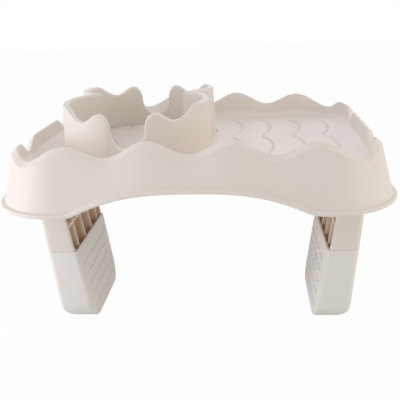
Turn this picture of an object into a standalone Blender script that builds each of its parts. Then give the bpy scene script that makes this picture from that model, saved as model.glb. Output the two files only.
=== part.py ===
"""Hot tub tray: a drinks and snack tray that straddles the wall of an inflatable tub.

Six pieces: a double-walled tray with a wavy rim, a tall cup ring that drops into it, two ribbed
legs that plug up into sockets under the tray, and two grip boots that push over the legs' feet.
X runs along the tray, -Y is its front, Z is up, and the boots stand on Z = 0. Metres.
"""
import math

import bmesh
import bpy
from mathutils import Matrix, Vector

# Tray: rim, walls and skirt
RIM_HEIGHT = 0.2302        # middle height of the rim's waves at the middle of the front
RIM_HALF_X = 0.185         # rim's outer edge, to the middle of each end
RIM_HALF_Y = 0.1435        # rim's outer edge, to the front and to the rear
RIM_CORNER = 0.0545        # corner radius of the rim in plan
RIM_WIDTH = 0.0052         # thickness of the folded rim
RIM_CROWN = 0.0095         # how far the rim falls from its middle to its ends
WAVE_PITCH = 0.080         # length of one wave along the front and the rear
WAVE_DEPTH = 0.0140        # height of a wave along the front and the rear, trough to crest
END_WAVE_DEPTH = 0.0050    # height of a wave at the middle of each end
WAVES_FRONT = 2            # waves from the middle of the front to where the corner starts to stretch them
WAVES_QUARTER = 3.5        # waves in a quarter of the rim, with a crest at the middle of each end
WAVE_STEPS = 8             # points in one wave
SKIN = 0.0026              # wall thickness of the moulding
FLOOR_DROP = 0.0248        # floor below the rim's middle height
FLOOR_FILLET = 0.012       # fillet between the inner wall and the floor, along the floor
WALL_DRAFT = 0.004         # how far the inner wall leans in on its way down
SKIRT_DROP = 0.0628        # foot of the skirt below the rim's middle height
SKIRT_FLARE = 0.0150       # how far the skirt leans out on its way down
LIP_OUT = 0.0032           # lip round the skirt's foot, outward
LIP_THICK = 0.0042         # lip round the skirt's foot, height
CAVITY_DEPTH = 0.0070      # solid part of the fold below the rim's top
ARCH_LIFT = 0.0225         # rise of the front and rear skirts over the tub wall
ARCH_INSET = 0.0115        # arch's end, inward from the boots' inner faces at the foot
ARCH_BLEND = 0.15          # softness of the arch's two ends, as a share of its rise

# Scale pattern cut into the floor
SCALE_PITCH = 0.0352       # from one column of scales to the next
SCALE_CHORD = 0.098        # length of one scale, front to rear
SCALE_BULGE = 0.012        # how far a scale's edge bulges to the right
SCALE_START = 0.0212       # from the ring's right side to the cusps of the column beside it
SCALE_Y = 0.0210           # line where the rear and front scales meet
GROOVE_WIDTH = 0.0020
GROOVE_DEPTH = 0.0008
SCALE_STEPS = 12           # steps along one scale's edge

# Cup ring
RING_INSET = 0.0420        # from the rim's left end to the ring's left side
RING_FRONT = 0.0395        # from the rim's front to the ring's front
RING_HALF_X = 0.0785       # half width of each of the ring's two bays, at the top
RING_CUSP_TURN = 133.1     # degrees round a bay, from the middle of its front to a cusp
RING_WALL = 0.0068         # wall thickness at the top
RING_DRAFT = 0.0022        # how far the outer face leans out on its way down
RING_FOOT = 0.0015         # small fillet at the foot
RING_TRACK_DEPTH = 0.0010  # track in the tray's floor that locates the ring
RING_CREST = 0.0250        # crest beside a notch, above the rim's middle height
RING_TROUGH = 0.0160       # trough next to it
RING_SIDE = 0.0295         # plateau at the sides
RING_CUSP = 0.0315         # highest point, at the cusps
NOTCH_SHOULDER = 0.0288    # half distance between the crests beside a notch
NOTCH_HALF = 0.0176        # half width of a notch between its upright sides
NOTCH_FLAT = 0.0040        # half width of its level bottom
NOTCH_BOTTOM = -0.0100     # bottom of a notch, against the rim's middle height
NOTCH_TURN = 0.0080        # height on its sides where the lower rounding gives way to the upper one

# Legs and boots. Widths are along X, depths along Y.
LEG_INSET = 0.0174         # outer face of the boot at the foot, inward from the rim's end
LEG_FOOT = 0.0411          # thickness of the boot at the foot, above its rounding
LEG_OUT_LEAN = 0.0871      # how far the outer face moves outward for each metre up
LEG_IN_LEAN = 0.1467       # how far the inner face does
LEG_HALF_FOOT = 0.0630     # half depth of the boot at the foot, above its rounding
LEG_SPREAD = 0.035         # growth of that half depth for each metre up the boot
LEG_CORNER = 0.0070        # rounding of the outer upright edges
LEG_CORNER_IN = 0.0022     # rounding of the inner upright edges
LEG_WALL = 0.0028          # leg's outer, front and rear walls
LEG_SOLE = 0.0080          # closed foot of the leg, inside the boot
RIB_THICK = 0.0020
RIB_PITCH = 0.0298         # from one upright rib to the next
RIBS = 4                   # upright ribs in a leg
CROSS_RIB = 0.1221         # height of the cross rib that shows above a boot
CROSS_PITCH = 0.045        # from one cross rib to the next
BOOT_TOP = 0.0930          # height of a boot's mouth
BOOT_WALL = 0.0028         # boot wall at the mouth
BOOT_SOLE = 0.0060
BOOT_ROUND_OUT = 0.0140    # rounding under the boot's outer edge
BOOT_ROUND_SIDE = 0.0270   # rounding under its front and rear edges
BOOT_ROUND_IN = 0.0040     # rounding under its inner edge
GRIP_ROWS = 5              # rows of grip bars on the boot's inner face
GRIP_PITCH = 0.0138        # from one row to the next
GRIP_FIRST = 0.0180        # height of the lowest row
GRIP_BARS = 3              # bars in a row
GRIP_LENGTH = 0.022
GRIP_STEP = 0.030          # from one bar to the next
GRIP_WIDTH = 0.0020
GRIP_RISE = 0.0007

# Plug on top of each leg, and its socket under the tray
PLUG_SET = 0.0015          # shoulder between the leg's inner face and the plug
PLUG_END = 0.0060          # shoulder at the leg's front and rear
PLUG_WIDTH = 0.0145
PLUG_HEIGHT = 0.0290
PLUG_WALL = 0.0028
SOCKET_WALL = 0.0026
SOCKET_ROOF = 0.0032       # solid roof between the socket's pocket and the floor's skin
SOCKET_ROOT = 0.0013       # how far the socket's wall runs into that skin

FIT = 0.0003               # gap between pieces that touch
FLOOR_HEIGHT = RIM_HEIGHT - FLOOR_DROP
SKIRT_FOOT = RIM_HEIGHT - SKIRT_DROP
RING_X = RING_INSET + RING_HALF_X - RIM_HALF_X
RING_BAY_HALF_Y = (RIM_HALF_Y - RING_FRONT) / (1 - math.cos(math.radians(RING_CUSP_TURN)))
RING_BAY_Y = RIM_HALF_Y - RING_FRONT - RING_BAY_HALF_Y
SCALE_X = RING_X + RING_HALF_X + SCALE_START
LEG_OUT_FOOT = RIM_HALF_X - LEG_INSET
LEG_IN_FOOT = LEG_OUT_FOOT - LEG_FOOT
ARCH_HALF = LEG_IN_FOOT - ARCH_INSET
LEG_LEAN = (LEG_IN_LEAN + LEG_OUT_LEAN) / 2
LEG_HALF = LEG_HALF_FOOT + LEG_SPREAD * BOOT_TOP
LEG_TOP = FLOOR_HEIGHT - SKIN - SOCKET_ROOF - PLUG_HEIGHT - 2 * FIT
CORE_FOOT = BOOT_SOLE + FIT
PLUG_HALF = LEG_HALF - PLUG_END

CREAM_PLASTIC = (0.72, 0.63, 0.53)
CREAM_RUBBER = (0.69, 0.63, 0.56)


def clear_scene():
    for thing in list(bpy.data.objects):
        bpy.data.objects.remove(thing, do_unlink=True)


def make_material(name, colour, roughness):
    material = bpy.data.materials.new(name)
    material.use_nodes = True
    shader = material.node_tree.nodes["Principled BSDF"]
    shader.inputs["Base Color"].default_value = (*colour, 1)
    shader.inputs["Roughness"].default_value = roughness
    shader.inputs["Metallic"].default_value = 0
    return material


def make_object(name, mesh, material, origin):
    """Makes a piece whose mesh is given in world places, with its origin where it is held."""
    mesh.materials.append(material)
    mesh.shade_smooth()
    mesh.set_sharp_from_angle(angle=math.radians(35))
    mesh.transform(Matrix.Translation(-origin))
    thing = bpy.data.objects.new(name, mesh)
    bpy.context.collection.objects.link(thing)
    thing.location = origin
    return thing


def make_cutter(name, mesh):
    thing = bpy.data.objects.new(name, mesh)
    bpy.context.collection.objects.link(thing)
    thing.hide_render = True
    thing.display_type = "WIRE"
    return thing


def boolean(target, tool, operation):
    step = target.modifiers.new(operation.title() + " " + tool.name, "BOOLEAN")
    step.operation = operation
    step.object = tool
    step.solver = "EXACT"


def loft(name, rings, closed=False):
    """Joins rings of equal length, first to last, and caps both ends, or joins last to first.

    The bands between rings are triangles, since their quads are twisted where a height waves.
    """
    mesh = bpy.data.meshes.new(name)
    form = bmesh.new()
    loops = [[form.verts.new(point) for point in ring] for ring in rings]
    count = len(loops[0])
    pairs = list(zip(loops, loops[1:]))
    if closed:
        pairs.append((loops[-1], loops[0]))
    for low, high in pairs:
        for i in range(count):
            j = (i + 1) % count
            form.faces.new((low[i], low[j], high[j]))
            form.faces.new((low[i], high[j], high[i]))
    if not closed:
        form.faces.new(loops[0])
        form.faces.new(loops[-1])
    bmesh.ops.recalc_face_normals(form, faces=form.faces)
    form.to_mesh(mesh)
    form.free()
    return mesh


def block(name, profile, near, far):
    """Closed prism: an outline in the XZ plane, run from Y = near to Y = far."""
    ends = [[(x, y, z) for x, z in profile] for y in (near, far)]
    return loft(name, ends)


# Tray

def rim_path():
    """Points round the rim's outer edge with their outward directions and wave counts.

    A quarter is laid out from the middle of the front to the middle of the right end. Its first
    waves have the front's pitch and the rest share what is left of the quarter.
    """
    straight_x = RIM_HALF_X - RIM_CORNER
    straight_y = RIM_HALF_Y - RIM_CORNER
    bend = RIM_CORNER * math.pi / 2
    quarter = straight_x + bend + straight_y
    points = []
    steps = round(WAVES_QUARTER * WAVE_STEPS)
    for k in range(steps + 1):
        waves = k / WAVE_STEPS
        along = waves * WAVE_PITCH
        if waves > WAVES_FRONT:
            share = (waves - WAVES_FRONT) / (WAVES_QUARTER - WAVES_FRONT)
            along = WAVES_FRONT * WAVE_PITCH + share * (quarter - WAVES_FRONT * WAVE_PITCH)
        turn = min(max((along - straight_x) / RIM_CORNER, 0), math.pi / 2)
        flat_x = min(along, straight_x)
        flat_y = max(along - straight_x - bend, 0)
        out = Vector((math.sin(turn), -math.cos(turn)))
        centre = Vector((flat_x, flat_y - straight_y))
        points.append((centre + out * RIM_CORNER, out, waves))
    return mirror_quarter(points)


def mirror_quarter(points):
    """Completes a loop from its front right quarter, keeping the order round the loop."""
    def turned(items, sx, sy):
        return [(Vector((p.x * sx, p.y * sy)), Vector((n.x * sx, n.y * sy)), w) for p, n, w in items]
    front_right = points
    rear_right = turned(points[::-1], 1, -1)
    rear_left = turned(points, -1, -1)
    front_left = turned(points[::-1], -1, 1)
    return front_right[:-1] + rear_right[:-1] + rear_left[:-1] + front_left[:-1]


def rim_top(place, waves):
    """Crests follow the crown, and the troughs between them grow shallow round the ends."""
    crown = RIM_CROWN * (place.x / RIM_HALF_X) ** 2
    share = max(waves - WAVES_FRONT, 0) / (WAVES_QUARTER - WAVES_FRONT)
    depth = WAVE_DEPTH + (END_WAVE_DEPTH - WAVE_DEPTH) * math.sin(math.pi / 2 * share) ** 2
    trough = (1 + math.cos(2 * math.pi * waves)) / 2
    return RIM_HEIGHT + WAVE_DEPTH / 2 - crown - depth * trough


def skirt_foot(place):
    """The skirt's lower edge rises in an arch over the tub wall and is level beyond it."""
    rise = 1 - (place.x / ARCH_HALF) ** 2
    return SKIRT_FOOT + ARCH_LIFT * (rise + math.hypot(rise, ARCH_BLEND)) / 2


def tray_profile(place, waves):
    """Section through the tray wall, from under the floor, over the rim and back to the floor.

    Each entry is a distance outward from the rim's edge and a height.
    """
    top = rim_top(place, waves)
    foot = skirt_foot(place)
    wall = top - FLOOR_HEIGHT
    fillet_up = min(FLOOR_FILLET, 0.35 * wall)
    cavity = FLOOR_HEIGHT + max(wall - CAVITY_DEPTH, 0.55 * wall)
    base = -RIM_WIDTH - WALL_DRAFT
    round_in = RIM_WIDTH / 2

    def fillet(share, thick):
        turn = share * math.pi / 2
        out = base - FLOOR_FILLET + FLOOR_FILLET * math.sin(turn) + thick * math.sin(turn)
        return out, FLOOR_HEIGHT + fillet_up * (1 - math.cos(turn)) - thick * math.cos(turn)

    def skirt(height):
        return SKIRT_FLARE * (top - height) / (top - foot)

    def inner(height):
        return -RIM_WIDTH - WALL_DRAFT * (top - height) / wall

    section = [fillet(k / 3, SKIN) for k in range(4)]
    section.append((inner(cavity) + SKIN, cavity))
    section.append((skirt(cavity) - SKIN, cavity))
    section.append((skirt(foot) - SKIN, foot))
    section.append((SKIRT_FLARE + LIP_OUT, foot))
    section.append((SKIRT_FLARE + LIP_OUT, foot + LIP_THICK))
    section.append((skirt(foot + LIP_THICK), foot + LIP_THICK))
    shoulder = top - round_in
    section.append((skirt((foot + shoulder) / 2), (foot + shoulder) / 2))
    for k in range(5):
        turn = math.pi * k / 4
        section.append((round_in * (math.cos(turn) - 1), shoulder + round_in * math.sin(turn)))
    section += [fillet(1 - k / 4, 0) for k in range(5)]
    return section


def tray_mesh():
    path = rim_path()
    sections = [tray_profile(place, waves) for place, _, waves in path]
    rings = []
    for k in range(len(sections[0])):
        ring = []
        for (place, out, _), section in zip(path, sections):
            distance, height = section[k]
            spot = place + out * distance
            ring.append((spot.x, spot.y, height))
        rings.append(ring)
    return loft("tray", rings)


def plug_in(height):
    return leg_in(LEG_TOP) + PLUG_SET + LEG_LEAN * (height - LEG_TOP)


def socket_mesh(side):
    """Collar under the tray whose walls run up into the floor and the fillet beside it."""
    inner = plug_in(LEG_TOP) - FIT - SOCKET_WALL
    outer = plug_in(LEG_TOP) + PLUG_WIDTH + FIT + SOCKET_WALL
    foot = LEG_TOP + FIT
    floor_under = FLOOR_HEIGHT - SKIN
    roof = floor_under + SOCKET_ROOT
    floor_edge = RIM_HALF_X - RIM_WIDTH - WALL_DRAFT - FLOOR_FILLET
    lift = FLOOR_FILLET * 0.45
    profile = [
        (inner, foot),
        (outer, foot),
        (outer + LEG_LEAN * (roof + lift - foot), roof + lift),
        (floor_edge, roof),
        (inner + LEG_LEAN * (roof - foot), roof),
    ]
    half = PLUG_HALF + FIT + SOCKET_WALL
    return block("socket", [(side * x, z) for x, z in profile], -half, half)


def socket_pocket_mesh(side):
    """Space for the plug, open below."""
    top = LEG_TOP + PLUG_HEIGHT + 2 * FIT
    low = LEG_TOP - LIP_THICK
    profile = []
    for height, edge in ((low, 0), (low, 1), (top, 1), (top, 0)):
        x = plug_in(height) - FIT + edge * (PLUG_WIDTH + 2 * FIT)
        profile.append((side * x, height))
    half = PLUG_HALF + FIT
    return block("socket_pocket", profile, -half, half)


def scale_arc(x, direction):
    """Points and outward directions along one scale's edge, which bulges to the right from its cusp."""
    half = SCALE_CHORD / 2
    radius = (half ** 2 + SCALE_BULGE ** 2) / (2 * SCALE_BULGE)
    reach = math.asin(half / radius)
    centre = Vector((x + SCALE_BULGE - radius, SCALE_Y + direction * half))
    arc = []
    for k in range(SCALE_STEPS + 1):
        turn = reach * (2 * k / SCALE_STEPS - 1) * (1 - 1 / SCALE_STEPS ** 2)
        out = Vector((math.cos(turn), math.sin(turn)))
        arc.append((centre + out * radius, out))
    return arc


def stretches(arc, allowed):
    """Parts of an arc, each at least three steps long, whose points all lie where they are allowed."""
    found = [[]]
    for point, out in arc:
        if allowed(point):
            found[-1].append((point, out))
        elif found[-1]:
            found.append([])
    return [part for part in found if len(part) > 3]


def groove_mesh(arc):
    rings = []
    for point, out in arc:
        ring = []
        for dr, dz in ((-1, -1), (1, -1), (1, 1), (-1, 1)):
            spot = point + out * dr * GROOVE_WIDTH / 2
            ring.append((spot.x, spot.y, FLOOR_HEIGHT + dz * GROOVE_DEPTH))
        rings.append(ring)
    return loft("groove", rings)


def in_ring(point):
    """Whether a point of the floor lies inside one of the ring's bays, clear of its wall."""
    clear = RING_WALL + FIT + GROOVE_WIDTH
    across = (point.x - RING_X) / (RING_HALF_X - clear)
    deep = (abs(point.y) - RING_BAY_Y) / (RING_BAY_HALF_Y - clear)
    return math.hypot(across, deep) < 1


def beside_ring(point):
    half_floor = RIM_HALF_X - RIM_WIDTH - WALL_DRAFT - FLOOR_FILLET
    ring_right = RING_X + RING_HALF_X + RING_DRAFT + RING_FOOT + GROOVE_WIDTH
    return ring_right < point.x < half_floor


def build_tray(material):
    tray = make_object("tray", tray_mesh(), material, Vector((0, 0, FLOOR_HEIGHT)))
    for side, name in ((-1, "left"), (1, "right")):
        boolean(tray, make_cutter("socket_" + name, socket_mesh(side)), "UNION")
    for side, name in ((-1, "left"), (1, "right")):
        boolean(tray, make_cutter("socket_pocket_" + name, socket_pocket_mesh(side)), "DIFFERENCE")
    boolean(tray, make_cutter("ring_track", ring_track_mesh()), "DIFFERENCE")
    columns = math.floor((SCALE_X + RIM_HALF_X) / SCALE_PITCH)
    for column in range(-columns, columns):
        x = SCALE_X + column * SCALE_PITCH
        for direction in (-1, 1):
            arc = scale_arc(x, direction)
            for part, cut in enumerate(stretches(arc, in_ring) + stretches(arc, beside_ring)):
                name = "groove_%d_%d_%d" % (column, direction, part)
                boolean(tray, make_cutter(name, groove_mesh(cut)), "DIFFERENCE")
    return tray


# Cup ring

def notch_edge():
    """Half of a handle notch, from its bottom to the crest: distances from its middle and heights.

    Two quarter ellipses meet on its upright side. The lower one rounds the bottom, the upper one the
    crest.
    """
    steps = 6
    lower = []
    upper = []
    for k in range(steps + 1):
        turn = math.pi / 2 * k / steps
        lower.append((
            NOTCH_FLAT + (NOTCH_HALF - NOTCH_FLAT) * math.sin(turn),
            NOTCH_TURN - (NOTCH_TURN - NOTCH_BOTTOM) * math.cos(turn),
        ))
        upper.append((
            NOTCH_SHOULDER - (NOTCH_SHOULDER - NOTCH_HALF) * math.cos(turn),
            NOTCH_TURN + (RING_CREST - NOTCH_TURN) * math.sin(turn),
        ))
    return [(0, NOTCH_BOTTOM)] + lower + upper[1:]


def ring_stations():
    """A quarter of the ring from a notch's middle to the cusp: angle round the bay and top height."""
    stations = [(math.asin(across / RING_HALF_X), height) for across, height in notch_edge()]
    crest = stations[-1][0]
    last = math.acos(-RING_BAY_Y / RING_BAY_HALF_Y)
    marks = [
        (crest, RING_CREST),
        (crest + math.radians(16.4), RING_TROUGH),
        (crest + math.radians(43), RING_SIDE),
        (last, RING_CUSP),
    ]
    for (start, low), (end, high) in zip(marks, marks[1:]):
        steps = max(4, round((end - start) / math.radians(9)))
        for k in range(1, steps + 1):
            share = k / steps
            height = low + (high - low) * (1 - math.cos(math.pi * share)) / 2
            stations.append((start + (end - start) * share, height))
    return [(angle / last, height) for angle, height in stations]


def ring_loop(grow, heights):
    """One loop round both bays, grown outward, with a height for each station of a quarter."""
    half_x = RING_HALF_X + grow
    half_y = RING_BAY_HALF_Y + grow
    last = math.acos(-RING_BAY_Y / half_y)
    quarter = []
    for (share, _), height in zip(ring_stations(), heights):
        angle = share * last
        across = half_x * math.sin(angle)
        deep = RING_BAY_Y + half_y * math.cos(angle)
        quarter.append((across, -deep, height))
    def turned(items, sx, sy):
        return [(RING_X + x * sx, y * sy, z) for x, y, z in items]
    return (
        turned(quarter, 1, 1)[:-1]
        + turned(quarter[::-1], 1, -1)[:-1]
        + turned(quarter, -1, -1)[:-1]
        + turned(quarter[::-1], -1, 1)[:-1]
    )


def ring_mesh():
    """Wall of the ring as a closed section: up the outside, over the rounded top, down the inside."""
    tops = [RIM_HEIGHT + height for _, height in ring_stations()]
    foot = FLOOR_HEIGHT - RING_TRACK_DEPTH + FIT
    round_top = RING_WALL / 2
    flat = [foot] * len(tops)
    rings = [
        ring_loop(RING_DRAFT + RING_FOOT, flat),
        ring_loop(RING_DRAFT, [foot + 2 * RING_FOOT] * len(tops)),
    ]
    for k in range(5):
        turn = math.pi * k / 4
        grow = round_top * (math.cos(turn) - 1)
        drop = round_top * (1 - math.sin(turn))
        rings.append(ring_loop(grow, [top - drop for top in tops]))
    rings.append(ring_loop(-RING_WALL, flat))
    return loft("cup_ring", rings, closed=True)


def ring_track_mesh():
    """Cutter for the shallow track that the ring's foot stands in."""
    count = len(ring_stations())
    low = [FLOOR_HEIGHT - RING_TRACK_DEPTH] * count
    high = [FLOOR_HEIGHT + RING_TRACK_DEPTH] * count
    outer = RING_DRAFT + RING_FOOT + FIT
    inner = -RING_WALL - FIT
    rings = [ring_loop(outer, low), ring_loop(outer, high), ring_loop(inner, high), ring_loop(inner, low)]
    return loft("ring_track", rings, closed=True)


def build_ring(material):
    return make_object("cup_ring", ring_mesh(), material, Vector((RING_X, 0, FLOOR_HEIGHT)))


# Legs and boots

def rounded_section(height, inner, outer, half, corner_in, corner_out):
    """Closed outline at one height: two inner corners and two outer corners, each rounded."""
    points = []
    spans = (
        (outer - corner_out, half - corner_out, corner_out, 0),
        (inner + corner_in, half - corner_in, corner_in, 90),
        (inner + corner_in, corner_in - half, corner_in, 180),
        (outer - corner_out, corner_out - half, corner_out, 270),
    )
    for x, y, radius, start in spans:
        for k in range(4):
            turn = math.radians(start + 30 * k)
            points.append((x + radius * math.cos(turn), y + radius * math.sin(turn), height))
    return points


def flip(points, side):
    return [(side * x, y, z) for x, y, z in points]


def boot_in(height):
    return LEG_IN_FOOT + LEG_IN_LEAN * height


def boot_out(height):
    return LEG_OUT_FOOT + LEG_OUT_LEAN * height


def boot_half(height):
    return LEG_HALF_FOOT + LEG_SPREAD * height


def tuck(radius, rise):
    """How far a rounded lower edge lies inside its face, at a height above its underside."""
    if rise >= radius:
        return 0
    return radius - math.sqrt(radius ** 2 - (radius - rise) ** 2)


def round_levels(radius):
    """Heights at which a rounded lower edge is cut, close together near its underside."""
    steps = 5
    return [radius * (1 - math.cos(math.pi / 2 * k / steps)) for k in range(steps + 1)]


def core_in(height):
    """Inner face of the leg inside the boot, parallel to the way the boot slides."""
    return boot_in(BOOT_TOP) + BOOT_WALL + FIT + LEG_LEAN * (height - BOOT_TOP)


def core_out(height):
    face = boot_out(BOOT_TOP) - BOOT_WALL - FIT + LEG_LEAN * (height - BOOT_TOP)
    return face - tuck(BOOT_ROUND_OUT - BOOT_SOLE, height - CORE_FOOT)


def core_half(height):
    return boot_half(height) - BOOT_WALL - FIT - tuck(BOOT_ROUND_SIDE - BOOT_SOLE, height - CORE_FOOT)


def core_section(height):
    """Outline of the leg inside the boot."""
    corner = LEG_CORNER - BOOT_WALL
    return rounded_section(height, core_in(height), core_out(height), core_half(height),
                           LEG_CORNER_IN, corner)


def hollow_section(height):
    """Outline of the boot's hollow: the leg inside it, a gap higher up, grown by that gap."""
    match = height + FIT
    corner = LEG_CORNER - BOOT_WALL + FIT
    return rounded_section(height, core_in(match) - FIT, core_out(match) + FIT, core_half(match) + FIT,
                           LEG_CORNER_IN, corner)


def core_levels(foot):
    """Heights of the rounded foot that the leg and the boot's hollow share."""
    deepest = max(BOOT_ROUND_OUT, BOOT_ROUND_SIDE) - BOOT_SOLE
    return [foot + rise for rise in round_levels(deepest)]


def leg_in(height):
    """Open inner face of the leg above the boot, level with the leg inside it."""
    return core_in(BOOT_TOP) + LEG_IN_LEAN * (height - BOOT_TOP)


def leg_shell_mesh(side):
    """Outside of a leg: the core that the boot covers, a step at its mouth, and the upper leg."""
    step = BOOT_TOP + FIT
    rings = [core_section(height) for height in core_levels(CORE_FOOT)]
    rings.append(core_section(step))
    for height in (step, LEG_TOP):
        rings.append(rounded_section(height, leg_in(height), boot_out(height), LEG_HALF,
                                     LEG_CORNER_IN, LEG_CORNER))
    return loft("leg", [flip(ring, side) for ring in rings])


def plug_mesh(side):
    """Plug above the shoulder, sunk a little way into it so that the two become one."""
    low = LEG_TOP - PLUG_WALL / 2
    high = LEG_TOP + PLUG_HEIGHT
    profile = []
    for height, edge in ((low, 0), (low, 1), (high, 1), (high, 0)):
        profile.append((side * (plug_in(height) + edge * PLUG_WIDTH), height))
    return block("plug", profile, -PLUG_HALF, PLUG_HALF)


def rib_places():
    """Y of each upright rib's middle, even about the leg's middle."""
    return [(k - (RIBS - 1) / 2) * RIB_PITCH for k in range(RIBS)]


def bay_edges(bay):
    """Y limits of a bay between upright ribs, as functions of the wall's half depth."""
    ribs = rib_places()
    near = None if bay == 0 else ribs[bay - 1] + RIB_THICK / 2
    far = None if bay == RIBS else ribs[bay] - RIB_THICK / 2
    return near, far


def pocket_levels():
    """Heights of the pockets: cross ribs at an even pitch, up and down from the one that shows."""
    low = CORE_FOOT + LEG_SOLE
    high = LEG_TOP - LEG_WALL
    edges = []
    level = CROSS_RIB
    while level - CROSS_PITCH > low + CROSS_PITCH / 4:
        level -= CROSS_PITCH
    while level < high - CROSS_PITCH / 4:
        edges.append(level)
        level += CROSS_PITCH
    bounds = [low] + [value for edge in edges for value in (edge - RIB_THICK / 2, edge + RIB_THICK / 2)]
    bounds.append(high)
    return list(zip(bounds[::2], bounds[1::2]))


def pocket_mesh(side, bay, low, high, covered):
    """Cutter for one pocket, open to the inner side of the leg, as wide as the boot or the leg lets it."""
    near, far = bay_edges(bay)
    rings = []
    for height in (low, high):
        half = (core_half(height) if covered else LEG_HALF) - LEG_WALL
        outer = (core_out(height) if covered else boot_out(height)) - LEG_WALL
        inner = core_in(height) - BOOT_WALL
        front = -half if near is None else near
        rear = half if far is None else far
        rings.append([(inner, front, height), (outer, front, height), (outer, rear, height),
                      (inner, rear, height)])
    return loft("pocket", [flip(ring, side) for ring in rings])


def split_at_mouth(low, high):
    """Lengths of a pocket with whether the boot covers them.

    A pocket that passes the step at the boot's mouth widens one wall above it, so that the step keeps
    its thickness.
    """
    ledge = BOOT_TOP + FIT + LEG_WALL
    if low < ledge < high:
        return [(low, ledge, True), (ledge - FIT, high, False)]
    return [(low, high, high <= ledge)]


def plug_core_mesh(side, bay):
    """Cutter that cores the plug from above, between the same ribs as the leg."""
    near, far = bay_edges(bay)
    half = PLUG_HALF - PLUG_WALL
    front = max(-half, near if near is not None else -half)
    rear = min(half, far if far is not None else half)
    low = LEG_TOP + PLUG_WALL / 2
    high = LEG_TOP + PLUG_HEIGHT + PLUG_WALL
    profile = []
    for height, edge in ((low, 0), (low, 1), (high, 1), (high, 0)):
        width = PLUG_WIDTH - 2 * PLUG_WALL
        profile.append((side * (plug_in(height) + PLUG_WALL + edge * width), height))
    return block("plug_core", profile, front, rear)


def build_leg(side, name, material):
    origin = Vector((side * (plug_in(LEG_TOP) + PLUG_WIDTH / 2), 0, LEG_TOP))
    leg = make_object("leg_" + name, leg_shell_mesh(side), material, origin)
    boolean(leg, make_cutter("plug_" + name, plug_mesh(side)), "UNION")
    for level, (low, high) in enumerate(pocket_levels()):
        for bay in range(RIBS + 1):
            for part, (start, end, covered) in enumerate(split_at_mouth(low, high)):
                label = "pocket_%s_%d_%d_%d" % (name, level, bay, part)
                boolean(leg, make_cutter(label, pocket_mesh(side, bay, start, end, covered)), "DIFFERENCE")
    for bay in range(RIBS + 1):
        boolean(leg, make_cutter("plug_core_%s_%d" % (name, bay), plug_core_mesh(side, bay)), "DIFFERENCE")
    return leg


def boot_shell_mesh(side):
    """Outside of a boot with its rounded underside, then down inside to the sole."""
    rings = []
    for height in round_levels(max(BOOT_ROUND_OUT, BOOT_ROUND_SIDE)) + [BOOT_TOP]:
        rings.append(rounded_section(
            height, boot_in(height) + tuck(BOOT_ROUND_IN, height),
            boot_out(height) - tuck(BOOT_ROUND_OUT, height),
            boot_half(height) - tuck(BOOT_ROUND_SIDE, height), LEG_CORNER_IN, LEG_CORNER))
    rings.append(hollow_section(BOOT_TOP))
    rings += [hollow_section(height) for height in reversed(core_levels(BOOT_SOLE))]
    return loft("boot", [flip(ring, side) for ring in rings])


def grip_mesh(side, row, bar):
    """One grip bar that stands proud of the boot's inner face, its ends chamfered."""
    shift = (row % 2 - 0.5) * GRIP_STEP / 2
    middle = (bar - (GRIP_BARS - 1) / 2) * GRIP_STEP + shift
    height = GRIP_FIRST + row * GRIP_PITCH
    rings = []
    for depth, shrink in ((BOOT_WALL / 2, 0), (-GRIP_RISE / 2, 0), (-GRIP_RISE, GRIP_WIDTH / 4)):
        ring = []
        for across, up in ((-1, -1), (1, -1), (1, 1), (-1, 1)):
            y = middle + across * (GRIP_LENGTH / 2 - shrink)
            z = height + up * (GRIP_WIDTH / 2 - shrink)
            ring.append((side * (boot_in(z) + depth), y, z))
        rings.append(ring)
    return loft("grip", rings)


def build_boot(side, name, material):
    origin = Vector((side * (core_in(BOOT_TOP) + core_out(BOOT_TOP)) / 2, 0, BOOT_TOP))
    boot = make_object("boot_" + name, boot_shell_mesh(side), material, origin)
    for row in range(GRIP_ROWS):
        for bar in range(GRIP_BARS):
            boolean(boot, make_cutter("grip_%s_%d_%d" % (name, row, bar), grip_mesh(side, row, bar)), "UNION")
    return boot


def main():
    clear_scene()
    plastic = make_material("cream_plastic", CREAM_PLASTIC, 0.55)
    rubber = make_material("cream_rubber", CREAM_RUBBER, 0.75)
    build_tray(plastic)
    build_ring(plastic)
    for side, name in ((-1, "left"), (1, "right")):
        build_leg(side, name, plastic)
        build_boot(side, name, rubber)


main()
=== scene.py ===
"""Hot tub tray: the dressed model.

Fine surfaces for the tray, its cup ring, the two ribbed legs and their grip boots, each in the
place of its solid, with a pale stage, soft lamps and a camera. X runs along the tray, -Y is its
front, Z is up, and the boots stand on Z = 0. Metres.
"""
import math

import bmesh
import bpy
import numpy as np
from bpy.props import FloatProperty, FloatVectorProperty, PointerProperty
from mathutils import Matrix, Vector
from mathutils.geometry import delaunay_2d_cdt


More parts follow.
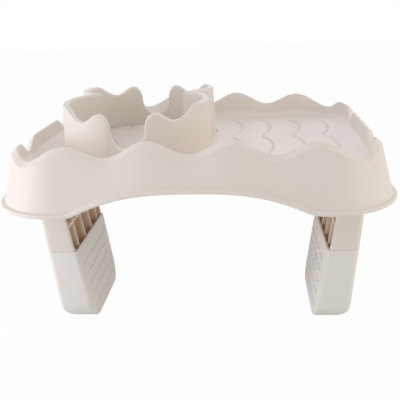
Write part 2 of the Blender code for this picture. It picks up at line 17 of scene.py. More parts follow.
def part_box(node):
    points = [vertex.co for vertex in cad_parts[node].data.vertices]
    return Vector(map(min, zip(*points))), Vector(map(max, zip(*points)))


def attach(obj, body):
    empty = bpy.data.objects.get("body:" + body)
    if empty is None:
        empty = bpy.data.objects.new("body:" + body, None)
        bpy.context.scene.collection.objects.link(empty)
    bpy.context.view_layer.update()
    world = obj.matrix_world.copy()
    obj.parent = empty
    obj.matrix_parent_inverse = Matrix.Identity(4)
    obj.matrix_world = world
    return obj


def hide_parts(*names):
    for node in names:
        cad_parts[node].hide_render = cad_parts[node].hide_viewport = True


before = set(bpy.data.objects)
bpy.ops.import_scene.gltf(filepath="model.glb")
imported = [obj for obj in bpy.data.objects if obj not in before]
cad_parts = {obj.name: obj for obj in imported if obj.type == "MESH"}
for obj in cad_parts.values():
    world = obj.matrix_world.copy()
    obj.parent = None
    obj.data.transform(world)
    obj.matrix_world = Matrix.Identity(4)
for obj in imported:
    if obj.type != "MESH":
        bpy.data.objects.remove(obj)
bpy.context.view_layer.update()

bl_info = {
    "name": "Hot Tub Tray",
    "version": (1, 0, 0),
    "blender": (4, 5, 0),
    "location": "3D View > Sidebar > Tub Tray",
    "description": "Makes a wavy-rimmed tub tray with its cup ring, legs and boots",
    "category": "Add Mesh",
}

TRAY_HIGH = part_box("tray")[1]
RING_LOW, RING_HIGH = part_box("cup_ring")
LEG_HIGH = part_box("leg_right")[1]
BOOT_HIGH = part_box("boot_right")[1]

MM = 0.001
FIT = 0.3 * MM  # gap between pieces that touch
FLARE = 15.0 * MM  # how far the skirt leans out
LIP_OUT = 3.2 * MM  # lip round the skirt's foot, outward
SKIRT_DROP = 62.8 * MM  # from the rim's middle height to the skirt's foot
FLOOR_DROP = 24.8 * MM  # from the rim's middle height to the floor
RIM_HEIGHT = RING_HIGH.z - 31.5 * MM  # middle height of the rim's waves


def sort_of(kind, **style):
    """Maker of one sort of property from its name, description and default."""
    return lambda name, description, default: kind(
        name=name, description=description, default=default, **style)


length = sort_of(FloatProperty, precision=4, subtype="DISTANCE", unit="LENGTH")
colour = sort_of(FloatVectorProperty, subtype="COLOR", size=3, min=0, max=1)
share = sort_of(FloatProperty, subtype="FACTOR", min=0, max=1)
watts = sort_of(FloatProperty, unit="POWER", min=0)


def mm(name, description, default):
    """A length given in millimetres."""
    return length(name, description, default * MM)


class TrayShape(bpy.types.PropertyGroup):
    """Sizes of the tray's moulding."""
    rim_height: length("Rim height", "Middle height of the rim's waves", RIM_HEIGHT)
    half_length: length("Half length", "Middle to the rim's edge at each end",
                        TRAY_HIGH.x - FLARE - LIP_OUT)
    half_depth: length("Half depth", "Middle to the rim's edge at the front",
                       TRAY_HIGH.y - FLARE - LIP_OUT)
    corner: mm("Corner", "Corner radius of the rim in plan", 54.5)
    rim_width: mm("Rim width", "Thickness of the folded rim", 5.2)
    crown: mm("Crown", "How far the rim falls from its middle to its ends", 9.5)
    pitch: mm("Wave pitch", "Length of one wave along the front", 80.0)
    wave: mm("Wave height", "Height of a wave along the front", 14.0)
    corner_dip: mm("Corner dip", "Dip at each corner, below the crests' line", 13.3)
    end_drop: mm("End drop", "Level rim at each end, below that line", 3.0)
    end_crest: mm("End crest", "Crest beside each corner, below that line", 3.5)
    end_dip: mm("End dip", "Dip past that crest, below that line", 16.0)
    floor: length("Floor", "Height of the floor's surface", RIM_HEIGHT - FLOOR_DROP)
    skin: mm("Skin", "Wall thickness of the moulding", 2.6)
    fillet: mm("Floor fillet", "Fillet between wall and floor, along the floor", 12.0)
    draft: mm("Wall draft", "How far the inner wall leans in on its way down", 4.0)
    foot: length("Skirt foot", "Height of the skirt's lower edge at the ends",
                 RIM_HEIGHT - SKIRT_DROP)
    lip_thick: mm("Lip height", "Height of the lip round the skirt", 4.2)
    arch_lift: mm("Arch rise", "Rise of the front and rear skirts", 23.4)
    arch_half: mm("Arch half width", "Half the width of that arch", 113.7)
    band: mm("Rim band", "Height of the slanted band round the rim", 5.2)
    band_in: mm("Band slant", "How far that band leans in to the rim's top", 3.6)
    band_out: mm("Band edge", "How far the band's lower edge stands proud", 0.5)


class FloorPattern(bpy.types.PropertyGroup):
    """Scale pattern pressed into the floor."""
    pitch: mm("Column pitch", "From one column of scales to the next", 35.2)
    chord: mm("Scale length", "Length of one scale, front to rear", 98.0)
    bulge: mm("Bulge", "How far a scale's edge bulges to the right", 12.0)
    first: mm("First column", "Cusp of the column beside the ring", 35.2)
    meet: mm("Meeting line", "Line where the front and rear scales meet", 12.5)
    width: mm("Groove width", "Half width of the soft groove", 1.2)
    depth: mm("Groove depth", "Depth of the soft groove", 1.6)
    clear: mm("Clear strip", "Strip round the ring's outside without grooves", 8.0)


class RingShape(bpy.types.PropertyGroup):
    """Sizes of the lift-out cup ring."""
    half_x: mm("Half width", "Half width of each bay at the top", 78.5)
    wall: mm("Wall", "Wall thickness at the top", 6.8)
    round_top: mm("Round top", "Height of the rounding over the wall's top", 2.8)
    draft: mm("Draft", "How far the outer face leans out on its way down", 2.2)
    foot: mm("Foot fillet", "Small fillet at the foot", 1.5)
    track: mm("Track depth", "Track in the floor that the foot stands in", 1.0)
    crest: mm("Crest", "Crest beside a notch, above the rim's middle height", 25.0)
    trough: mm("Trough", "Trough next to that crest", 16.0)
    side: mm("Side", "Height along the bays' sides", 29.5)
    cusp: mm("Cusp", "Height at the cusps", 31.5)
    notch: mm("Notch bottom", "Bottom of a handle notch", -10.0)
    notch_half: mm("Notch half width", "Middle of a notch to its upright side", 17.6)
    notch_flat: mm("Notch floor", "Half width of a notch's level bottom", 4.0)
    notch_turn: mm("Notch turn", "Where a side's two roundings meet", 8.0)
    shoulder: mm("Crest distance", "Middle of a notch to the crest beside it", 28.8)


class LegShape(bpy.types.PropertyGroup):
    """Sizes of a leg, its plug and its boot."""
    in_foot: mm("Inner face", "Boot's inner face at the foot, from the middle", 126.5)
    out_foot: mm("Outer face", "Boot's outer face at the foot, from the middle", 167.6)
    half_foot: mm("Half depth", "Half depth of the boot at the foot", 63.0)
    corner: mm("Outer corner", "Rounding of the outer upright edges", 7.0)
    corner_in: mm("Inner corner", "Rounding of the inner upright edges", 2.2)
    wall: mm("Leg wall", "Leg's outer, front and rear walls", 2.8)
    sole: mm("Leg sole", "Closed foot of the leg", 8.0)
    rib: mm("Rib", "Thickness of a rib", 2.0)
    rib_pitch: mm("Rib pitch", "From one upright rib to the next", 29.8)
    cross_rib: mm("Cross rib", "Height of the cross rib that shows", 122.1)
    cross_pitch: mm("Cross pitch", "From one cross rib to the next", 45.0)
    # shade: depth at which the painted shade in the pockets is full
    shade: mm("Pocket shade", "Depth at which the pockets' tone is full", 4.0)
    plug_height: mm("Plug height", "Height of the plug above the leg's shoulder", 29.0)
    plug_width: mm("Plug width", "Width of the plug", 14.5)
    plug_set: mm("Plug shoulder", "Shoulder inside the plug", 1.5)
    plug_end: mm("Plug end", "Shoulder before and behind the plug", 6.0)
    mouth: length("Boot mouth", "Height of the boot's mouth", BOOT_HIGH.z)
    boot_wall: mm("Boot wall", "Boot wall at the mouth", 2.8)
    boot_sole: mm("Boot sole", "Thickness of the boot's sole", 6.0)
    boot_corner: mm("Boot inner corner", "Rounding of the boot's inner upright edges", 5.0)
    round_out: mm("Round out", "Rounding under the boot's outer edge", 18.0)
    round_side: mm("Round sides", "Rounding under its front and rear edges", 27.0)
    round_in: mm("Round in", "Rounding under its inner edge", 5.0)
    grip_long: mm("Long grip", "Length of a row's middle grip bar", 39.0)
    grip_short: mm("Short grip", "Length of the grip bar on each side of it", 25.0)
    grip_gap: mm("Grip gap", "Gap between two bars of a row", 6.5)
    grip_width: mm("Grip width", "Width of a grip bar", 2.8)
    grip_rise: mm("Grip rise", "How far a grip bar stands proud", 1.5)


class Finish(bpy.types.PropertyGroup):
    """Colours of the two mouldings' materials, and the painted shade in the legs' pockets."""
    plastic: colour("Plastic", "Cream plastic of the tray, ring and legs", (0.79, 0.72, 0.65))
    # pockets: painted shade, the warm dim colour that the pockets' walls take with depth, in place
    # of the light between the ribs
    pockets: colour("Pockets", "Tone inside the legs' pockets", (0.78, 0.56, 0.34))
    rubber: colour("Rubber", "Cream rubber of the boots", (0.81, 0.77, 0.72))
    roughness: share("Roughness", "Middle roughness of the plastic", 0.52)


class StageLook(bpy.types.PropertyGroup):
    """Light and backdrop."""
    key: watts("Key", "Power of the near lamp at the left", 1.9)
    low: watts("Low", "Power of the low lamp at the left", 3.2)
    fill: watts("Fill", "Power of the broad lamp at the right", 4.9)
    top: watts("Top", "Power of the lamp above", 1.75)
    back: watts("Back", "Power of the lamp behind", 2.1)
    sky: share("Sky", "Brightness of the even light from all round", 0.62)
    backdrop: share("Backdrop", "Share of plain white in the floor that the camera sees", 0.96)


LEAN_IN = 0.1467  # outward lean of the legs' inner face for each metre up
LEAN_OUT = 0.0871  # outward lean of their outer face
SPREAD = 0.035  # growth of the boot's half depth for each metre up
LEG_LEAN = (LEAN_IN + LEAN_OUT) / 2
WAVES_FRONT = 2  # waves that keep the front's pitch, from the middle of the front
WAVES_QUARTER = 3.5  # waves in a quarter of the rim
WAVE_STEPS = 40  # stations on one wave
CAVITY_DEPTH = 7.0 * MM  # solid part of the fold below the rim's top
CAVITY_SHARE = 0.55  # least share of the inner wall's height that the cavity has
FILLET_SHARE = 0.35  # most of that height that the floor's fillet takes
BAND_SWELL = 1.2 * MM  # height below the rim's band over which the skirt swells
LAST_CREST = 1.5  # in waves, the last of the front's even crests
END_MARKS = (2.06, 2.3, 2.6, 2.82, 3.1)  # corner's dip, crest from and to, end's dip, level rim
ARCH_POWER = 2.75  # 2 for a parabola, more for a flatter middle
ARCH_BLEND = 0.15  # softness of the arch's two ends
GROOVE_STEPS = 72  # points along one groove
GROOVE_ROWS = (-2.4, -1.7, -1.25, -0.9, -0.6, -0.3, 0, 0.3, 0.6, 0.9, 1.25, 1.7, 2.4)  # in widths
CUSP_FADE = 5 * MM  # over which a groove comes up from a scale's cusp
EDGE_CLEAR, EDGE_FADE = 3 * MM, 6 * MM  # from the fillet to the grooves, and to their full depth
TRACK_CLEAR, TRACK_FADE = 1.5 * MM, 3 * MM  # the same from the ring's track
SOCKET_CORNERS = 3 * MM, 1.4 * MM  # upright edges of a socket's collar and of its space
SOCKET_MOUTH = 4 * MM  # how far below the collar that space is cut
CUSP_TURN = math.radians(133.1)  # round a bay, from its front to where the bays meet
TROUGH_TURN = math.radians(16.4)  # from a crest beside a notch to the trough
SIDE_TURN = math.radians(43)  # from that crest to the high side
NOTCH_STEPS = 26  # stations on one rounding of a notch
CUSP_SOFTNESS = 1.6  # spread, in stations, of the average that softens the cusps
CUSP_START, CUSP_RAMP = 0.85, 0.08  # shares of a quarter where it sets in and takes over
TOP_FLATNESS = 0.76  # power of the sine and cosine over the ring's top, 1 for a plain ellipse
WALL_SINKS = (0.85, 0.6, 0.4, 0.2, 0.08)  # shares of the way from the ring's top to its foot
RIBS = 4  # upright ribs in a leg
POCKET_CORNER = 1.6 * MM  # rounding at the back of a pocket
PLUG_CORNER = 1.2 * MM  # rounding of the plug's upright edges
PLUG_EDGE = 0.9 * MM  # height of the slope round the plug's top
EDGE_WIDTH = 0.45 * MM  # rounding of a leg's edges
EDGE_ANGLE = 50  # degrees between two faces from which their edge is rounded
SHARP_ANGLE = 40  # degrees from which it is drawn sharp
# POCKET names the depth mask of the painted shade in the legs' pockets
POCKET = "pocket_depth"  # attribute of the legs' meshes
BOOT_EDGE = 0.8 * MM  # rounding of the boot's mouth
GRIP_ROWS = 5  # rows of grip bars on a boot
GRIP_FIRST = 18.0 * MM  # height of the lowest row
GRIP_PITCH = 13.8 * MM  # from one row to the next
GRIP_DOME = 0.92  # share of a quarter turn that a bar's domed top takes


# Arrays and meshes

def wave(x):
    """Smooth rise from 0 to 1 as x goes from 0 to 1: half a cosine wave."""
    return (1 - np.cos(np.pi * np.clip(x, 0, 1))) / 2


def half_waves(x, marks, values):
    """Passes level through the values at the marks, half a cosine wave from each to the next."""
    steps = zip(marks, marks[1:], values, values[1:])
    return values[0] + sum((after - value) * wave((x - mark) / (far - mark))
                           for mark, far, value, after in steps)


def full_turn(quarter):
    """A closed loop from its front right quarter, which the others mirror."""
    parts = []
    for k, signs in enumerate(((1, 1), (1, -1), (-1, -1), (-1, 1))):
        part = (quarter[::-1] if k % 2 else quarter)[:-1].copy()
        if part.ndim > 1:
            part[:, :2] *= signs
        parts.append(part)
    return np.concatenate(parts)


def grid_faces(rows, columns, wrap_rows=False):
    """Quads of a grid of points numbered row by row, whose rows are closed loops."""
    row = np.arange(rows if wrap_rows else rows - 1)[:, None]
    column = np.arange(columns)[None]
    low, high = row * columns, (row + 1) % rows * columns
    after = (column + 1) % columns
    return np.stack([low + column, low + after, high + after, high + column], -1).reshape(-1, 4)


def make_mesh(name, points, faces):
    """Mesh of points and lists of faces, its doubles merged and its faces turned outward."""
    mesh = bpy.data.meshes.new(name)
    corners = [face for group in faces for face in np.asarray(group).tolist()]
    mesh.from_pydata(np.asarray(points).reshape(-1, 3).tolist(), [], corners)
    form = bmesh.new()
    form.from_mesh(mesh)
    bmesh.ops.remove_doubles(form, verts=form.verts, dist=MM / 1000)
    bmesh.ops.recalc_face_normals(form, faces=form.faces)
    form.to_mesh(mesh)
    form.free()
    return mesh


def loft(rings, wrap=False, start=0):
    """Faces between closed rings of equal size, with both ends capped unless they join."""
    rows, columns = rings.shape[:2]
    faces = [grid_faces(rows, columns, wrap) + start]
    if not wrap:
        ends = np.arange(columns) + start
        faces.append(np.stack([ends, ends + (rows - 1) * columns]))
    return faces


def put(name, data):
    """A new object in the scene for a mesh, a lamp or a camera."""
    thing = bpy.data.objects.new(name, data)
    bpy.context.scene.collection.objects.link(thing)
    return thing


def make_piece(name, mesh, material):
    mesh.materials.append(material)
    return put(name, mesh)


def carve(piece, solids, operation):
    """Cuts lofted solids that lie apart from a piece, or joins them on."""
    points, faces, start = [], [], 0
    for rings in solids:
        points.append(rings.reshape(-1, 3))
        faces += loft(rings, start=start)
        start += len(points[-1])
    tool = put("tool", make_mesh("tool", np.concatenate(points), faces))
    step = piece.modifiers.new("carve", "BOOLEAN")
    step.operation = operation
    step.solver = "MANIFOLD"
    step.object = tool
    apply_modifiers(piece)
    bpy.data.meshes.remove(tool.data)  # takes the tool with it


def apply_modifiers(piece):
    """Keeps what the modifiers make of a piece as its plain mesh."""
    bpy.context.view_layer.update()
    shape = piece.evaluated_get(bpy.context.evaluated_depsgraph_get())
    made = bpy.data.meshes.new_from_object(shape)
    if len(made.polygons) < 4:
        raise RuntimeError(piece.name + " came out empty")
    old = piece.data
    piece.modifiers.clear()
    piece.data = made
    bpy.data.meshes.remove(old)


def soften(piece):
    """Narrow rounded edges wherever two faces meet at more than the angle."""
    step = piece.modifiers.new("soft edges", "BEVEL")
    step.width = EDGE_WIDTH
    step.segments = 2
    step.limit_method = "ANGLE"
    step.angle_limit = math.radians(EDGE_ANGLE)
    step.use_clamp_overlap = True
    apply_modifiers(piece)


def seat(piece, node):
    """Shades a finished piece and lets it ride with its node and stand for it."""
    piece.data.shade_smooth()
    piece.data.set_sharp_from_angle(angle=math.radians(SHARP_ANGLE))
    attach(piece, node)
    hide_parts(node)


def round_corners(stops):
    """Open outlines with their inner corners rounded, many at once.

    A stop has the outlines' corners there as two arrays, how far before them the curve leaves the
    edge that comes in, how far after them it joins the edge that goes out, and its steps. It is a
    conic whose middle weight is the sine of half the angle between the two edges, a true arc where
    the two distances are equal.
    """
    corners = [np.stack(stop[:2], -1) for stop in stops]
    rounded = []
    for past, spot, coming, stop in zip(corners, corners[1:], corners[2:], stops[1:]):
        back, ahead = past - spot, coming - spot
        back = back / np.linalg.norm(back, axis=-1, keepdims=True)
        ahead = ahead / np.linalg.norm(ahead, axis=-1, keepdims=True)
        before, after = (np.broadcast_to(cut, len(spot))[:, None] for cut in stop[2:4])
        weight = np.sqrt(np.clip((1 - (back * ahead).sum(-1)) / 2, 0, 1))[:, None, None]
        t = np.linspace(0, 1, stop[4] + 1)[None, :, None]
        ends = (1 - t) ** 2, 2 * weight * t * (1 - t), t ** 2
        start, finish = (spot + back * before)[:, None], (spot + ahead * after)[:, None]
        rounded.append((ends[0] * start + ends[1] * spot[:, None] + ends[2] * finish) / sum(ends))
    return np.concatenate(rounded, axis=1)


# Tray

def rim_path(tray):
    """Places, outward directions and wave counts of stations round the rim's outer edge.

    A quarter runs from the middle of the front, round the corner's arc, to the middle of the end.
    Its first waves have the front's pitch and the rest share what is left of the quarter.
    """
    flat_x = tray.half_length - tray.corner
    flat_y = tray.half_depth - tray.corner
    bend = tray.corner * np.pi / 2
    quarter = flat_x + bend + flat_y
    waves = np.linspace(0, WAVES_QUARTER, round(WAVES_QUARTER * WAVE_STEPS) + 1)
    even = WAVES_FRONT * tray.pitch
    part = (waves - WAVES_FRONT) / (WAVES_QUARTER - WAVES_FRONT)
    along = np.where(part > 0, even + part * (quarter - even), waves * tray.pitch)
    turn = np.clip((along - flat_x) / tray.corner, 0, np.pi / 2)
    out = np.stack([np.sin(turn), -np.cos(turn)], -1)
    past = np.maximum(along - flat_x - bend, 0)
    centre = np.stack([np.minimum(along, flat_x), past - flat_y], -1)
    return full_turn(centre + out * tray.corner), full_turn(out), full_turn(waves)


def rim_top(x, waves, tray):
    """Height of the rim's top.

    The line of the crests falls from the middle like a parabola. Below it lie cosine waves along
    the front and rear, and past their last crest half waves between the corner's dip, a broad
    crest, a deep dip and the level middle of each end.
    """
    crown = tray.crown * (x / tray.half_length) ** 2
    even = tray.wave * (1 + np.cos(2 * np.pi * waves)) / 2
    depths = (0, tray.corner_dip, tray.end_crest, tray.end_crest, tray.end_dip, tray.end_drop)
    ends = half_waves(waves, (LAST_CREST, *END_MARKS), depths)
    depth = np.where(waves < LAST_CREST, even, ends)
    return tray.rim_height + tray.wave / 2 - crown - depth


def skirt_foot(x, tray):
    """A power curve over the tub wall that runs softly into a level foot on both sides."""
    rise = 1 - np.abs(x / tray.arch_half) ** ARCH_POWER
    return tray.foot + tray.arch_lift * (rise + np.hypot(rise, ARCH_BLEND)) / 2


def tray_sections(x, waves, tray):
    """Section through the tray's wall at each station, as distances outward and heights.

    It runs from under the floor up inside the inner wall, down inside the skirt, round the lip, up
    the skirt, over the rim and down to the floor.
    """
    top = rim_top(x, waves, tray)
    foot = skirt_foot(x, tray)
    wall = top - tray.floor
    level = np.zeros_like(top)
    fillet_up = np.minimum(tray.fillet, FILLET_SHARE * wall)
    cavity = tray.floor + np.maximum(wall - CAVITY_DEPTH, CAVITY_SHARE * wall)
    base = -tray.rim_width - tray.draft
    inner = -tray.rim_width - tray.draft * (top - cavity) / wall
    edge = FLARE + LIP_OUT

    def skirt(height):
        return FLARE * (top - height) / (top - foot)

    under = level + tray.floor - tray.skin
    shoulder = foot + tray.lip_thick
    band = top - tray.band
    small = 0.6 * MM
    return round_corners([
        (level + base - tray.fillet, under, 0, 0, 0),
        (level + base + tray.skin, under, tray.fillet + tray.skin, fillet_up + tray.skin, 8),
        (inner + tray.skin, cavity, small, small, 3),
        (skirt(cavity) - tray.skin, cavity, small, small, 3),
        (skirt(foot) - tray.skin, foot, small, small, 3),
        (level + edge, foot, 1.5 * MM, 1.5 * MM, 6),
        (level + edge, shoulder, 1.7 * MM, 1.8 * MM, 8),
        (skirt(shoulder), shoulder, 0.8 * MM, 1.0 * MM, 5),
        (skirt(band - BAND_SWELL), band - BAND_SWELL, 0.5 * MM, 0.5 * MM, 4),
        (skirt(band) + tray.band_out, band, 0.5 * MM, 0.7 * MM, 6),
        (level - tray.band_in, top, 1.2 * MM, 0.6 * MM, 8),
        (level - tray.rim_width, top, 0.8 * MM, 1.8 * MM, 8),
        (level + base, level + tray.floor, fillet_up, tray.fillet, 12),
        (level + base - tray.fillet, level + tray.floor, 0, 0, 0),
    ])


def ellipse_distance(points, ring):
    """Distance outside the ring's plan, to first order: the nearer bay's ellipse over its slope."""
    across = (points[:, 0] - ring_centre(ring)) / ring.half_x
    deep = (np.abs(points[:, 1]) - bay_middle(ring)) / bay_depth(ring)
    size = np.hypot(across, deep)
    slope = np.hypot(across / ring.half_x, deep / bay_depth(ring)) / np.maximum(size, 1e-6)
    return (size - 1) / np.maximum(slope, 1e-6)


def floor_distance(points, tray):
    """Distance outside the flat floor, a rectangle with round corners."""
    inset = tray.rim_width + tray.draft + tray.fillet
    corner = tray.corner - inset
    half = np.array([tray.half_length, tray.half_depth]) - inset - corner
    reach = np.abs(points) - half
    return np.linalg.norm(np.maximum(reach, 0), axis=1) + np.minimum(reach.max(1), 0) - corner


def groove_points(pattern, tray, ring):
    """Points along and across every scale's edge, with their heights.

    Each scale's edge is an arc that bulges to the right between its cusps. Across it the floor dips
    like a bell curve, and the dip fades out at the cusps, the floor's fillet and the ring.
    """
    half = pattern.chord / 2
    radius = (half ** 2 + pattern.bulge ** 2) / (2 * pattern.bulge)
    reach = math.asin(half / radius)
    count = math.ceil(tray.half_length / pattern.pitch)
    columns = np.arange(-count - 1, count)
    middle_x = pattern.first + columns * pattern.pitch + pattern.bulge - radius
    middle_y = pattern.meet + half * np.array([-1, 1, -3])
    turn = np.linspace(-reach, reach, GROOVE_STEPS)
    across = np.array(GROOVE_ROWS) * pattern.width
    cx, cy, t, w = np.meshgrid(middle_x, middle_y, turn, across, indexing="ij")
    away = radius + w
    points = np.stack([cx + away * np.cos(t), cy + away * np.sin(t)], -1).reshape(-1, 2)
    ends = wave((reach - np.abs(t)) * radius / CUSP_FADE).reshape(-1)
    dip = np.exp(-(w / pattern.width) ** 2).reshape(-1)
    from_edge = -floor_distance(points, tray)
    from_ring = ellipse_distance(points, ring)
    beside = np.maximum(from_ring - ring.draft - ring.foot - pattern.clear, -from_ring - ring.wall)
    fade = wave((from_edge - EDGE_CLEAR) / EDGE_FADE) * wave((beside - TRACK_CLEAR) / TRACK_FADE)
    height = tray.floor - pattern.depth * dip * ends * fade
    keep = (from_edge > EDGE_CLEAR - MM) & (beside > TRACK_CLEAR - MM / 2) & (ends > 0)
    return np.column_stack([points, height])[keep]


def track_loops(tray, ring):
    """The ring's track: two loops at the floor's height and two just inside them at its depth."""
    outer = ring.draft + ring.foot + FIT
    inner = -ring.wall - FIT
    steep = 0.12 * MM
    part = ring_stations(ring)[0]
    marks = (outer, 0), (outer - steep, ring.track), (inner + steep, ring.track), (inner, 0)
    return [ring_loop(ring, part, grow, tray.floor - drop) for grow, drop in marks]


def floor_surface(edge, tray, pattern, ring):
    """Triangles of the floor between its edge, the ring's track and the grooves of the scales."""
    loops = [edge] + track_loops(tray, ring)
    points = np.concatenate(loops + [groove_points(pattern, tray, ring)])
    joins, start = [], 0
    for loop in loops:
        index = np.arange(len(loop))
        joins.append(np.column_stack([index, (index + 1) % len(loop)]) + start)
        start += len(loop)
    flat, _, faces, source, _, _ = delaunay_2d_cdt(
        points[:, :2].tolist(), np.concatenate(joins).tolist(), [], 1, MM / 10000)
    height = np.array([points[own[0], 2] if own else tray.floor for own in source])
    return np.column_stack([np.array([tuple(p) for p in flat]), height]), faces


def socket_solids(tray, leg, side):
    """Collar of a socket under the floor, and the space in it for the plug, open below."""
    half, thick = plug_half(leg) + FIT, tray.skin
    roof = tray.floor - thick / 2 - leg_top(leg)
    outer, inner = SOCKET_CORNERS
    collar = plug_block(leg, side, (FIT, roof), FIT + thick, half + thick, outer)
    space = plug_block(leg, side, (-SOCKET_MOUTH, leg.plug_height + 2 * FIT), FIT, half, inner)
    return collar, space


def build_tray(scene):
    """Tray: its wall's section swept round the rim, a floor with grooves, and two sockets below."""
    tray, pattern, ring, leg = scene.tub_tray, scene.tub_floor, scene.tub_ring, scene.tub_leg
    place, out, waves = rim_path(tray)
    section = tray_sections(place[:, 0], waves, tray).transpose(1, 0, 2)
    flat = place[None] + out[None] * section[..., :1]
    wall = np.concatenate([flat, section[..., 1:]], -1)
    rows, stations = wall.shape[:2]
    floor, triangles = floor_surface(wall[-1], tray, pattern, ring)
    faces = [grid_faces(rows, stations), np.arange(stations)[None]]
    faces.append(np.array(triangles) + rows * stations)
    mesh = make_mesh("tray", np.concatenate([wall.reshape(-1, 3), floor]), faces)
    piece = make_piece("tray_shell", mesh, cream_plastic(scene.tub_finish))
    for operation, which in (("UNION", 0), ("DIFFERENCE", 1)):
        carve(piece, [socket_solids(tray, leg, side)[which] for side in (-1, 1)], operation)
    seat(piece, "tray")


# Cup ring

def ring_centre(ring):
    return RING_LOW.x + ring.half_x + ring.draft + ring.foot


def bay_depth(ring):
    """Half depth of a bay, from the ring's reach to the front and the angle where its bays meet."""
    reach = RING_HIGH.y - ring.draft - ring.foot
    return reach / (1 - math.cos(CUSP_TURN))


def bay_middle(ring):
    return -bay_depth(ring) * math.cos(CUSP_TURN)


def ring_stations(ring):
    """Shares of a quarter from a notch's middle to a cusp, and the top's height there.

    A notch has a level bottom, then a quarter ellipse up to its upright side and another one from
    there to the crest. Half waves join the marks beyond the crest.
    """
    turn = np.linspace(0, np.pi / 2, NOTCH_STEPS)
    level = np.linspace(0, ring.notch_flat, 6)[:-1]
    across = np.concatenate([
        level,
        ring.notch_flat + (ring.notch_half - ring.notch_flat) * np.sin(turn[:-1]),
        ring.shoulder - (ring.shoulder - ring.notch_half) * np.cos(turn)])
    height = np.concatenate([
        ring.notch + 0 * level,
        ring.notch_turn - (ring.notch_turn - ring.notch) * np.cos(turn[:-1]),
        ring.notch_turn + (ring.crest - ring.notch_turn) * np.sin(turn)])
    near = np.arcsin(across / ring.half_x)
    far = np.linspace(near[-1], CUSP_TURN, 7 * NOTCH_STEPS)[1:]
    marks = [near[-1], near[-1] + TROUGH_TURN, near[-1] + SIDE_TURN, CUSP_TURN]
    tops = [ring.crest, ring.trough, ring.side, ring.cusp]
    return (np.concatenate([near, far]) / CUSP_TURN,
            np.concatenate([height, half_waves(far, marks, tops)]))


def plan_point(ring, part, grow):
    """Places on the front right quarter of a bay's ellipse, grown outward, at shares of it."""
    deep = bay_depth(ring) + grow
    angle = part * np.arccos(-bay_middle(ring) / deep)
    return np.stack([(ring.half_x + grow) * np.sin(angle),
                     -bay_middle(ring) - deep * np.cos(angle)], -1)


def ring_loop(ring, part, grow, height):
    """A closed loop round both bays, its cusps softened by a bell-shaped average along the loop."""
    level = np.broadcast_to(height, part.shape)
    loop = full_turn(np.column_stack([plan_point(ring, part, grow), level, part]))
    reach = np.arange(-5, 6)
    weight = np.exp(-(reach / CUSP_SOFTNESS) ** 2 / 2)
    soft = sum(np.roll(loop[:, :2], k, axis=0) * w for k, w in zip(reach, weight / weight.sum()))
    at_cusp = wave((loop[:, 3:] - CUSP_START) / CUSP_RAMP)
    plan = loop[:, :2] + (soft - loop[:, :2]) * at_cusp
    return np.column_stack([plan[:, 0] + ring_centre(ring), plan[:, 1], loop[:, 2]])


def build_ring(scene):
    """Ring: foot, outer face, rounded top and inner face, each a loop round both bays.

    Across the wall the top is half a superellipse, flatter than a circle. Its points are set back
    along the edge's own normal, so that the upright sides of the notches are as round as the rest.
    """
    ring, tray = scene.tub_ring, scene.tub_tray
    part, height = ring_stations(ring)
    top = tray.rim_height + height
    foot = tray.floor - ring.track + FIT
    plan = plan_point(ring, part, 0)
    run = np.linalg.norm(np.gradient(plan, axis=0), axis=1)
    slope = np.arctan2(np.gradient(top), run)
    pace = run / np.gradient(part)

    def set_back(drop):
        shifted = np.clip(part + drop * np.sin(slope) / pace, 0, 1)
        return shifted, top - drop * np.cos(slope)

    below, edge = set_back(ring.round_top)
    wall = foot + 2 * ring.foot - edge
    rows = [(below, ring.draft + ring.foot * (1 - math.sin(turn)),
             foot + 2 * ring.foot * (1 - math.cos(turn))) for turn in np.linspace(0, np.pi / 2, 5)]
    rows += [(below, ring.draft * sink, edge + wall * sink) for sink in WALL_SINKS]
    for turn in np.linspace(0, np.pi, 15):
        outward = math.copysign(abs(math.cos(turn)) ** TOP_FLATNESS, math.cos(turn))
        shifted, level = set_back(ring.round_top * (1 - abs(math.sin(turn)) ** TOP_FLATNESS))
        rows.append((shifted, ring.wall / 2 * (outward - 1), level))
    rows += [(below, -ring.wall, edge + wall * sink) for sink in WALL_SINKS[::-1]]
    rows.append((below, -ring.wall, foot))
    rings = np.stack([ring_loop(ring, *row) for row in rows])
    mesh = make_mesh("cup_ring", rings, loft(rings, wrap=True))
    piece = make_piece("cup_ring_wall", mesh, cream_plastic(scene.tub_finish))
    seat(piece, "cup_ring")


# Legs

def block(side, heights, inner, outer, half, corner_in, corner_out, steps, middle=0):
    """Closed outlines, one at each height, from an inner face to an outer one on that side.

    Each is a rectangle whose two inner and two outer corners are quarter circles.
    """
    limits = np.broadcast_arrays(heights, inner, outer, half, middle)
    heights, inner, outer, half, middle = (limit[:, None] for limit in limits)
    turn = np.linspace(0, np.pi / 2, steps)[None]
    far, near = (corner_out, outer - corner_out), (corner_in, inner + corner_in)
    x, y = [], []
    for quarter, (radius, centre) in enumerate((far, near, near, far)):
        angle = turn + quarter * np.pi / 2
        end = 1 if quarter < 2 else -1
        x.append(side * (centre + radius * np.cos(angle)))
        y.append(middle + end * (half - radius) + radius * np.sin(angle))
    x, y = np.concatenate(x, 1), np.concatenate(y, 1)
    return np.stack([x, y, np.broadcast_to(heights, x.shape)], -1)


def tuck(radius, rise):
    """How far a rounded lower edge lies inside its face: radius less a circle's height."""
    left = np.maximum(radius - rise, 0)
    return radius - np.sqrt(np.maximum(radius ** 2 - left ** 2, 0))


def leg_top(leg):
    """Height of the leg's shoulder, below the socket's roof in the floor."""
    return LEG_HIGH.z - leg.plug_height


def boot_in(leg, height):
    return leg.in_foot + LEAN_IN * height


def boot_out(leg, height):
    return leg.out_foot + LEAN_OUT * height


def boot_half(leg, height):
    return leg.half_foot + SPREAD * height


